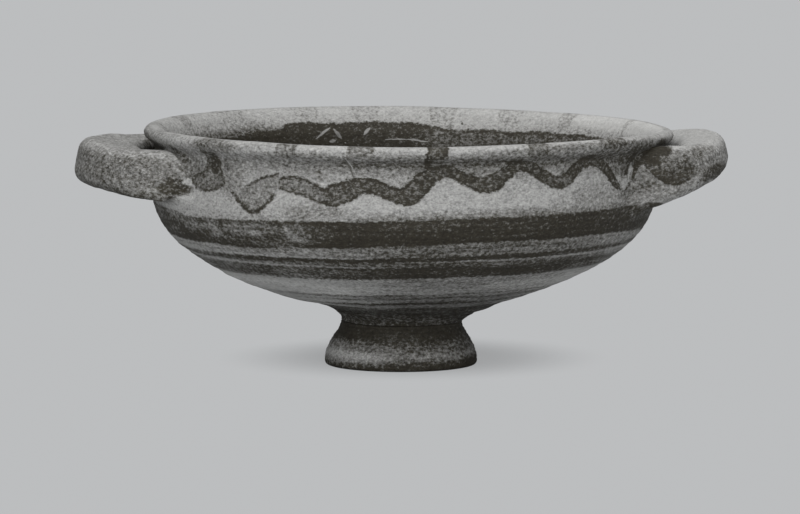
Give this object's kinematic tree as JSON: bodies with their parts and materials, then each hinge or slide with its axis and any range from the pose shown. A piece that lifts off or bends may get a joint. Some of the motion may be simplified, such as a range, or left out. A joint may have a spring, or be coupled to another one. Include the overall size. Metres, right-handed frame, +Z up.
{
  "type": "two-handled bowl",
  "caption": "Shallow wheel-thrown clay bowl on a low flared foot, with an everted lip and horizontal loop handles, painted with bands and a wave line.",
  "frame": {"origin": "centre of the foot's base, on the surface that the bowl stands on", "axes": "+Z up; X along the line through the two handles, right handle at +X; the picture looks along +Y"},
  "size_m": [0.2091, 0.1692, 0.0774],
  "materials": {
    "bowl": "matt pale slip with dark painted bands, a wave line and bars on the lip, worn and pitted",
    "foot": "matt dark paint, worn toward the base",
    "slip": "bare fired slip",
    "foot_fillet": "matt dark paint",
    "handle": "matt, pitted and mottled, with worn dark paint",
    "luting": "matt, smoothed by hand, with worn dark paint"
  },
  "bodies": {
    "root": {"foot": "foot", "foot_luting_disc": "slip", "foot_luting_ring": "foot_fillet", "bowl": "bowl", "left_handle": "handle", "left_handle_front_luting": "luting", "left_handle_back_luting": "luting", "right_handle": "handle", "right_handle_front_luting": "luting", "right_handle_back_luting": "luting"}
  },
  "joints": []
}
